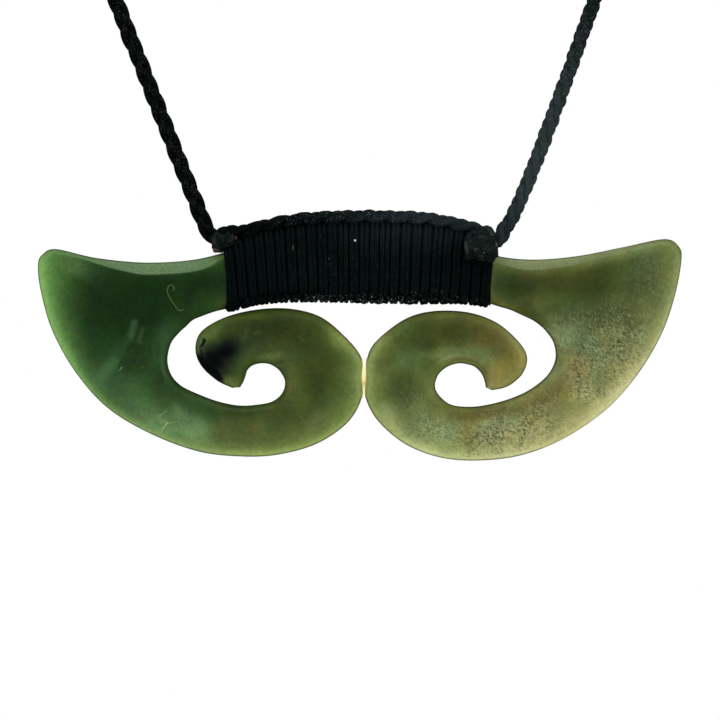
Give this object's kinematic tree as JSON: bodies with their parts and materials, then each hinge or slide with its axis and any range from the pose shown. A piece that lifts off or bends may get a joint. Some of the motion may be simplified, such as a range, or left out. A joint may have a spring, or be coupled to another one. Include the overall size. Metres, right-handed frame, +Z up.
{
  "type": "koru breastplate necklace",
  "caption": "Carved stone breastplate with two facing koru spirals, lashed along its bar with black thread and hung on a plaited neck cord.",
  "frame": {"origin": "on the side of the clasp that rests against the nape of the neck", "axes": "+Z up, +X to the viewer's right, the front of the breastplate faces -Y"},
  "size_m": [0.1284, 0.1227, 0.1924],
  "materials": {
    "greenstone": "polished, faintly translucent at its edges",
    "lashing_thread": "waxed black thread",
    "melted_cord": "charred and fused cord",
    "plaited_cord": "waxed black plaited cord",
    "clasp_horn": "dark polished horn"
  },
  "bodies": {
    "root": {"koru_plate": "greenstone", "binding": "lashing_thread", "cord_end_left": "melted_cord", "cord_end_right": "melted_cord", "cord_left": "plaited_cord", "cord_right": "plaited_cord", "clasp": "clasp_horn"}
  },
  "joints": []
}
